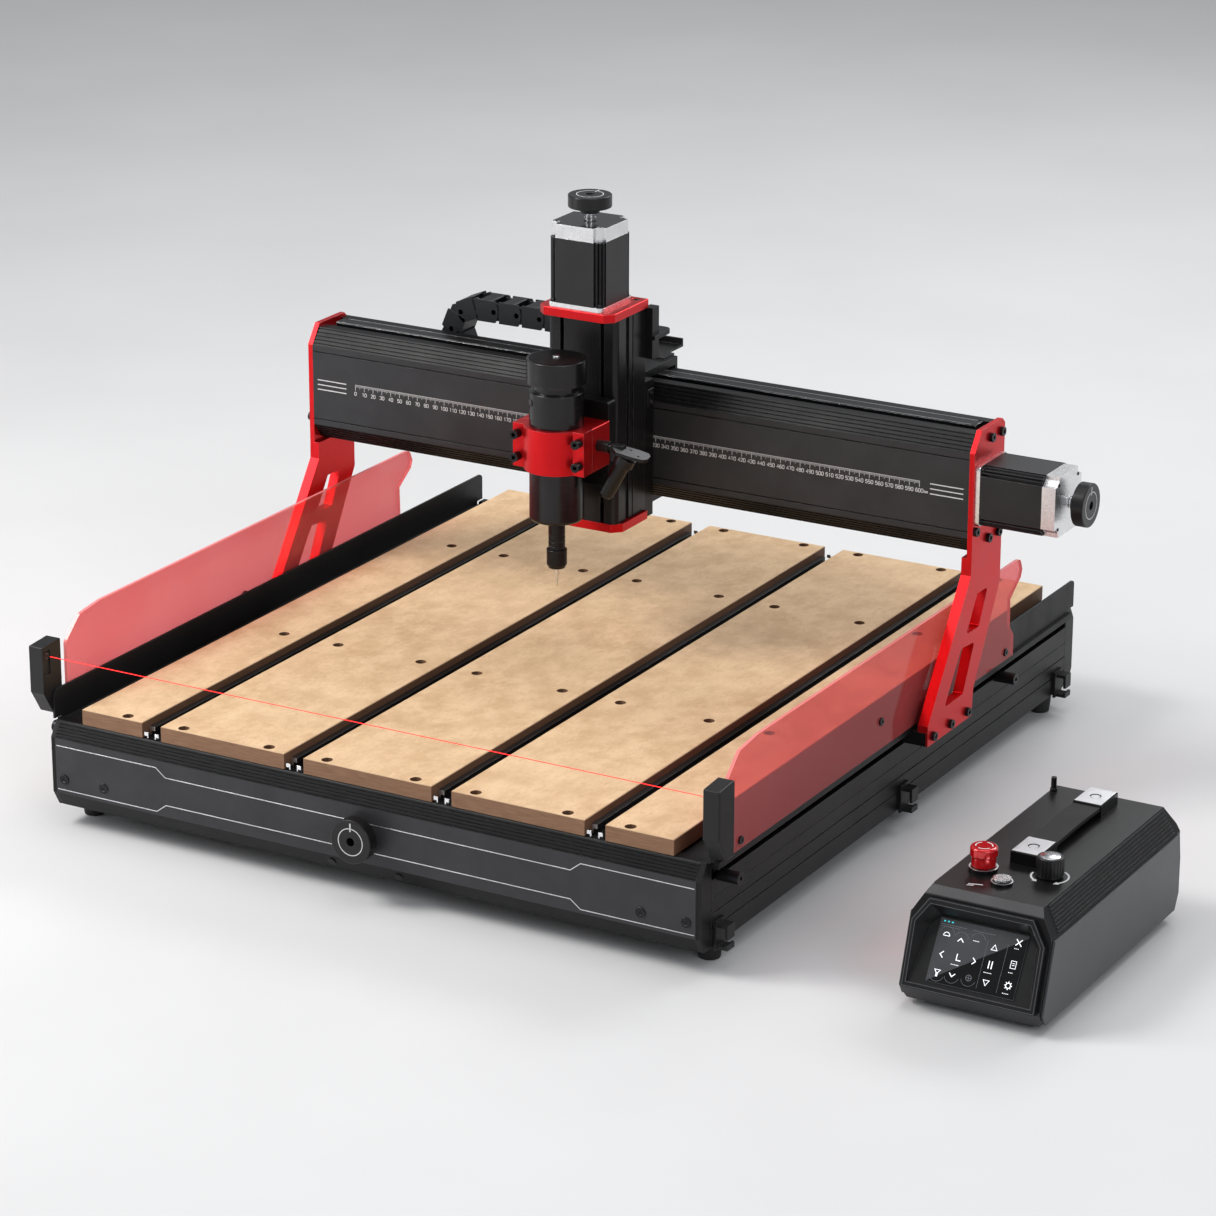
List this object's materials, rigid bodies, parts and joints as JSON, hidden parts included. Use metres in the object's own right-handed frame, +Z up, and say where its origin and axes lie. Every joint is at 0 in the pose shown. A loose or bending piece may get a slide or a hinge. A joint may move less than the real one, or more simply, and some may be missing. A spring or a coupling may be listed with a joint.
{
  "type": "cnc router",
  "caption": "Desktop gantry CNC router with slotted spoilboard bed, red side legs, lead screw drives, spindle on a Z column, red side guards and a separate touch-screen controller.",
  "frame": {"origin": "centre of the work surface, on top of the middle spoilboard", "axes": "+X along the gantry beam towards the beam motor, +Y towards the back of the machine, +Z up"},
  "size_m": [0.9792, 0.771, 0.5348],
  "materials": {
    "mdf": "satin",
    "silver_alu": "satin",
    "grey_anodised": "satin",
    "black_anodised": "satin",
    "rail_steel": "polished",
    "black_sheet": "matte",
    "red_acrylic": "gloss",
    "black_plastic": "matte",
    "rubber": "matte",
    "black_oxide": "satin",
    "motor_black": "satin",
    "red_anodised": "satin",
    "spindle_black": "satin",
    "bright_steel": "polished",
    "lamp_grey": "satin",
    "chain_plastic": "matte",
    "gloss_black": "gloss",
    "panel_grey": "satin",
    "circuit_green": "satin",
    "screen_glass": "gloss",
    "stop_red": "gloss"
  },
  "bodies": {
    "base": {"spoilboards": "mdf", "bed_profiles": "silver_alu", "end_beams": "grey_anodised", "beam_end_caps": "black_anodised", "side_rails": "black_anodised", "y_guide_rails": "rail_steel", "dust_walls": "black_sheet", "guard_panels": "red_acrylic", "light_barrier_posts": "black_plastic", "rubber_feet": "rubber", "cable_clips": "black_plastic", "slot_stops": "black_oxide", "y_motor": "motor_black", "y_drive_mounts": "black_anodised", "frame_screws": "black_oxide"},
    "y_drive": {"y_drive_screw": "rail_steel", "y_knob": "black_plastic"},
    "gantry": {"gantry_legs": "red_anodised", "gantry_beam": "grey_anodised", "x_guide_rails": "rail_steel", "foot_blocks": "black_anodised", "y_guide_blocks": "rail_steel", "gantry_crossbar": "black_anodised", "x_motor": "motor_black", "x_screw_bearing": "black_oxide", "chain_tray": "black_sheet", "gantry_screws": "black_oxide", "drag_chain_lower": "chain_plastic"},
    "x_drive": {"x_drive_screw": "rail_steel", "x_knob": "black_plastic"},
    "chain_end": {"drag_chain_bend": "chain_plastic"},
    "x_slide": {"x_carriage": "black_anodised", "z_column": "grey_anodised", "z_end_plates": "red_anodised", "z_motor": "motor_black", "z_guide_rails": "rail_steel", "drag_chain_upper": "chain_plastic"},
    "z_drive": {"z_drive_screw": "rail_steel", "z_knob": "black_plastic"},
    "z_head": {"z_slide": "black_anodised", "spindle_clamp": "red_anodised", "clamp_screws": "black_oxide", "spindle_body": "spindle_black", "spindle_fan_hood": "spindle_black"},
    "rotor": {"spindle_shaft": "rail_steel", "collet_nut": "black_oxide", "cutter_bit": "bright_steel"},
    "lamp": {"work_lamp": "lamp_grey"},
    "controller": {"controller_case": "gloss_black", "controller_side_panels": "panel_grey", "controller_sockets": "black_plastic", "controller_electronics": "circuit_green", "screen_bezel": "gloss_black", "touch_screen": "screen_glass", "handle_caps": "bright_steel", "handle_strap": "rubber", "controller_feet": "rubber"},
    "stop_button": {"emergency_stop": "stop_red"},
    "dial": {"speed_knob": "black_plastic"},
    "push_button": {"safety_button": "bright_steel"}
  },
  "joints": [
    {"name": "y_travel", "type": "slide", "parent": "base", "child": "gantry", "axis": [0, 1, 0], "range_m": [-0.335, 0.095]},
    {"name": "y_screw_turn", "type": "hinge", "parent": "base", "child": "y_drive", "pos_m": [0, -0.067, -0.055], "axis": [0, 1, 0], "continuous": true},
    {"name": "x_travel", "type": "slide", "parent": "gantry", "child": "x_slide", "axis": [1, 0, 0], "range_m": [-0.282, 0.298], "deforming": ["drag_chain_upper"]},
    {"name": "x_screw_turn", "type": "hinge", "parent": "gantry", "child": "x_drive", "pos_m": [0, 0.1145, 0.1775], "axis": [1, 0, 0], "continuous": true},
    {"name": "chain_roll", "type": "slide", "parent": "gantry", "child": "chain_end", "axis": [1, 0, 0], "range_m": [-0.141, 0.149], "deforming": ["drag_chain_lower"]},
    {"name": "z_travel", "type": "slide", "parent": "x_slide", "child": "z_head", "axis": [0, 0, 1], "range_m": [-0.065, 0.035]},
    {"name": "z_screw_turn", "type": "hinge", "parent": "x_slide", "child": "z_drive", "pos_m": [-0.008, 0.0282, 0.21], "axis": [0, 0, 1], "continuous": true},
    {"name": "spindle_turn", "type": "hinge", "parent": "z_head", "child": "rotor", "pos_m": [-0.008, -0.032, 0.14], "axis": [0, 0, 1], "continuous": true},
    {"name": "lamp_tilt", "type": "hinge", "parent": "z_head", "child": "lamp", "pos_m": [0.045, -0.021, 0.2035], "axis": [1, 0, 0], "range_deg": [-20, 20]},
    {"name": "controller_place", "type": "slide", "parent": "base", "child": "controller", "axis": [1, 0, 0], "range_m": [-0.02, 0.15]},
    {"name": "stop_press", "type": "slide", "parent": "controller", "child": "stop_button", "axis": [0, 0, -1], "range_m": [0, 0.003], "stiffness_N_per_m": 600},
    {"name": "dial_turn", "type": "hinge", "parent": "controller", "child": "dial", "pos_m": [0.5858, -0.2522, 0], "axis": [0, 0, 1], "range_deg": [-135, 135]},
    {"name": "button_press", "type": "slide", "parent": "controller", "child": "push_button", "axis": [0, 0, -1], "range_m": [0, 0.0015], "stiffness_N_per_m": 400}
  ],
  "couplings": [
    {"joint": "y_screw_turn", "follows": "y_travel", "rad_per_m": 628.32},
    {"joint": "x_screw_turn", "follows": "x_travel", "rad_per_m": 628.32},
    {"joint": "z_screw_turn", "follows": "z_travel", "rad_per_m": 628.32},
    {"joint": "chain_roll", "follows": "x_travel", "ratio": 0.5}
  ]
}
